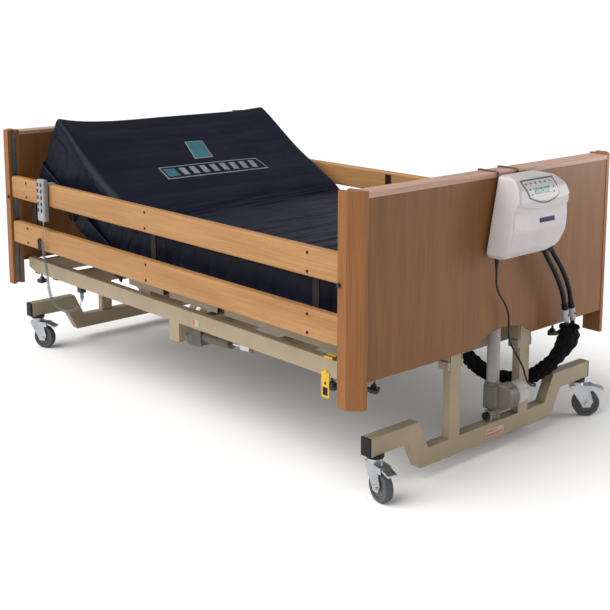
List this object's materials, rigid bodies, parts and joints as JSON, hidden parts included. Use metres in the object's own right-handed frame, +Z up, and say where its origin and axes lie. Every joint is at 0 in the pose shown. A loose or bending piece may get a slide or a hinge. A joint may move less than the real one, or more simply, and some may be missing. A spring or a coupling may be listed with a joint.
{
  "type": "adjustable hospital bed",
  "caption": "Profiling hospital bed with wooden end boards and sliding side rails, lift bases on braked casters, a raised backrest, an air mattress and its pump.",
  "frame": {"origin": "on the floor under the middle of the whole bed, the air pump included", "axes": "+X towards the foot end, +Y from the rail side with the handset to the far side, +Z up"},
  "size_m": [2.3519, 1.3562, 1.0214],
  "materials": {
    "beech": "satin",
    "board_veneer": "satin",
    "post_wood": "satin",
    "channel_aluminium": "satin",
    "frame_cream": "satin",
    "strut_bronze": "satin",
    "zinc": "satin",
    "rod_chrome": "polished",
    "black_plastic": "matte",
    "actuator_grey": "matte",
    "tyre_grey": "matte",
    "pedal_grey": "matte",
    "mattress_cover": "satin",
    "pump_shell": "satin",
    "hook_steel": "satin",
    "hose_black": "satin",
    "connector_white": "satin",
    "sleeve_fabric": "matte",
    "lead_black": "satin",
    "box_grey": "matte",
    "handset_grey": "matte",
    "cord_grey": "satin",
    "button_black": "satin"
  },
  "bodies": {
    "foot_base": {"foot_base_frame": "frame_cream", "foot_base_trim": "black_plastic", "foot_lift_actuator": "actuator_grey"},
    "head_base": {"head_base_frame": "frame_cream", "head_base_trim": "black_plastic", "head_lift_actuator": "actuator_grey"},
    "bed_frame": {"board_posts": "post_wood", "rail_channels": "channel_aluminium", "board_top_rails": "post_wood", "footboard_panel": "board_veneer", "headboard_panel": "board_veneer", "end_carriages": "frame_cream", "lift_rods": "rod_chrome", "frame_plastics": "black_plastic", "main_frame": "frame_cream", "seat_section": "frame_cream", "mattress_seat": "mattress_cover", "back_actuator": "actuator_grey", "control_box": "box_grey", "pump_case": "pump_shell", "pump_hooks": "hook_steel", "pump_lead_boot": "lead_black", "air_hoses": "hose_black", "hose_connectors": "connector_white", "hose_sleeve": "sleeve_fabric", "mains_lead": "lead_black", "mains_coil": "lead_black", "mains_plug": "lead_black"},
    "backrest": {"back_section": "frame_cream", "mattress_back": "mattress_cover"},
    "thigh": {"thigh_section": "frame_cream", "mattress_thigh": "mattress_cover"},
    "calf": {"calf_section": "frame_cream", "mattress_calf": "mattress_cover"},
    "back_rod": {"back_actuator_rod": "rod_chrome"},
    "knee_motor": {"knee_actuator": "actuator_grey"},
    "knee_rod": {"knee_actuator_rod": "rod_chrome"},
    "near_rail": {"near_rail_bars": "beech", "near_rail_fittings": "strut_bronze", "handset_case": "handset_grey", "handset_cord": "cord_grey"},
    "far_rail": {"far_rail_bars": "beech", "far_rail_fittings": "strut_bronze"},
    "button_foot_near": {"release_button_foot_near": "button_black"},
    "button_foot_far": {"release_button_foot_far": "button_black"},
    "button_head_near": {"release_button_head_near": "button_black"},
    "button_head_far": {"release_button_head_far": "button_black"},
    "fork_foot_near": {"caster_fork_foot_near": "zinc"},
    "wheel_foot_near": {"caster_wheel_foot_near": "tyre_grey"},
    "pedal_foot_near": {"brake_pedal_foot_near": "pedal_grey"},
    "fork_foot_far": {"caster_fork_foot_far": "zinc"},
    "wheel_foot_far": {"caster_wheel_foot_far": "tyre_grey"},
    "pedal_foot_far": {"brake_pedal_foot_far": "pedal_grey"},
    "fork_head_near": {"caster_fork_head_near": "zinc"},
    "wheel_head_near": {"caster_wheel_head_near": "tyre_grey"},
    "pedal_head_near": {"brake_pedal_head_near": "pedal_grey"},
    "fork_head_far": {"caster_fork_head_far": "zinc"},
    "wheel_head_far": {"caster_wheel_head_far": "tyre_grey"},
    "pedal_head_far": {"brake_pedal_head_far": "pedal_grey"}
  },
  "joints": [
    {"name": "foot_lift", "type": "slide", "parent": "foot_base", "child": "bed_frame", "axis": [0, 0, 1], "range_m": [-0.06, 0.32]},
    {"name": "head_lift", "type": "slide", "parent": "bed_frame", "child": "head_base", "axis": [0, 0, 1], "range_m": [-0.321, 0.061]},
    {"name": "back_raise", "type": "hinge", "parent": "bed_frame", "child": "backrest", "pos_m": [-0.302, 0, 0.4575], "axis": [0, 1, 0], "range_deg": [-28, 32]},
    {"name": "thigh_raise", "type": "hinge", "parent": "bed_frame", "child": "thigh", "pos_m": [-0.032, 0, 0.4575], "axis": [0, -1, 0], "range_deg": [0, 35]},
    {"name": "calf_follow", "type": "hinge", "parent": "thigh", "child": "calf", "pos_m": [0.298, 0, 0.4575], "axis": [0, -1, 0], "range_deg": [-52.6, 0.1]},
    {"name": "back_rod_slide", "type": "slide", "parent": "bed_frame", "child": "back_rod", "axis": [-1, 0, 0], "range_m": [-0.0965, 0.1105]},
    {"name": "knee_motor_tilt", "type": "hinge", "parent": "bed_frame", "child": "knee_motor", "pos_m": [-0.272, -0.3, 0.2], "axis": [0, -1, 0], "range_deg": [-0.1, 13.6]},
    {"name": "knee_rod_slide", "type": "slide", "parent": "knee_motor", "child": "knee_rod", "axis": [0.998, 0, 0.064], "range_m": [-0.0005, 0.129]},
    {"name": "near_rail_slide", "type": "slide", "parent": "bed_frame", "child": "near_rail", "axis": [0, 0, 1], "range_m": [-0.17, 0]},
    {"name": "far_rail_slide", "type": "slide", "parent": "bed_frame", "child": "far_rail", "axis": [0, 0, 1], "range_m": [-0.17, 0]},
    {"name": "button_foot_near_press", "type": "slide", "parent": "bed_frame", "child": "button_foot_near", "axis": [0, 1, 0], "range_m": [0, 0.0038], "stiffness_N_per_m": 400},
    {"name": "button_foot_far_press", "type": "slide", "parent": "bed_frame", "child": "button_foot_far", "axis": [0, -1, 0], "range_m": [0, 0.0038], "stiffness_N_per_m": 400},
    {"name": "button_head_near_press", "type": "slide", "parent": "bed_frame", "child": "button_head_near", "axis": [0, 1, 0], "range_m": [0, 0.0038], "stiffness_N_per_m": 400},
    {"name": "button_head_far_press", "type": "slide", "parent": "bed_frame", "child": "button_head_far", "axis": [0, -1, 0], "range_m": [0, 0.0038], "stiffness_N_per_m": 400},
    {"name": "swivel_foot_near", "type": "hinge", "parent": "foot_base", "child": "fork_foot_near", "pos_m": [1.025, -0.535, 0.134], "axis": [0, 0, 1], "continuous": true},
    {"name": "wheel_foot_near_spin", "type": "hinge", "parent": "fork_foot_near", "child": "wheel_foot_near", "pos_m": [1.05923, -0.54228, 0.05], "axis": [0.2079, 0.9781, 0], "continuous": true},
    {"name": "pedal_foot_near_press", "type": "hinge", "parent": "fork_foot_near", "child": "pedal_foot_near", "pos_m": [1.07586, -0.54581, 0.112], "axis": [0.2079, 0.9781, 0], "range_deg": [0, 18]},
    {"name": "swivel_foot_far", "type": "hinge", "parent": "foot_base", "child": "fork_foot_far", "pos_m": [1.025, 0.535, 0.134], "axis": [0, 0, 1], "continuous": true},
    {"name": "wheel_foot_far_spin", "type": "hinge", "parent": "fork_foot_far", "child": "wheel_foot_far", "pos_m": [1.04842, 0.56101, 0.05], "axis": [-0.7431, 0.6691, 0], "continuous": true},
    {"name": "pedal_foot_far_press", "type": "hinge", "parent": "fork_foot_far", "child": "pedal_foot_far", "pos_m": [1.0598, 0.57364, 0.112], "axis": [-0.7431, 0.6691, 0], "range_deg": [0, 18]},
    {"name": "swivel_head_near", "type": "hinge", "parent": "head_base", "child": "fork_head_near", "pos_m": [-1.089, -0.535, 0.134], "axis": [0, 0, 1], "continuous": true},
    {"name": "wheel_head_near_spin", "type": "hinge", "parent": "fork_head_near", "child": "wheel_head_near", "pos_m": [-1.05655, -0.52189, 0.05], "axis": [-0.3746, 0.9272, 0], "continuous": true},
    {"name": "pedal_head_near_press", "type": "hinge", "parent": "fork_head_near", "child": "pedal_head_near", "pos_m": [-1.04079, -0.51552, 0.112], "axis": [-0.3746, 0.9272, 0], "range_deg": [0, 18]},
    {"name": "swivel_head_far", "type": "hinge", "parent": "head_base", "child": "fork_head_far", "pos_m": [-1.089, 0.535, 0.134], "axis": [0, 0, 1], "continuous": true},
    {"name": "wheel_head_far_spin", "type": "hinge", "parent": "fork_head_far", "child": "wheel_head_far", "pos_m": [-1.06033, 0.51492, 0.05], "axis": [0.5736, 0.8192, 0], "continuous": true},
    {"name": "pedal_head_far_press", "type": "hinge", "parent": "fork_head_far", "child": "pedal_head_far", "pos_m": [-1.0464, 0.50517, 0.112], "axis": [0.5736, 0.8192, 0], "range_deg": [0, 18]}
  ],
  "couplings": [
    {"joint": "head_lift", "follows": "foot_lift", "ratio": -1},
    {"joint": "calf_follow", "follows": "thigh_raise", "ratio": -1.5},
    {"joint": "back_rod_slide", "follows": "back_raise", "m_per_rad": 0.196},
    {"joint": "knee_motor_tilt", "follows": "thigh_raise", "ratio": 0.383},
    {"joint": "knee_rod_slide", "follows": "thigh_raise", "m_per_rad": 0.21}
  ]
}
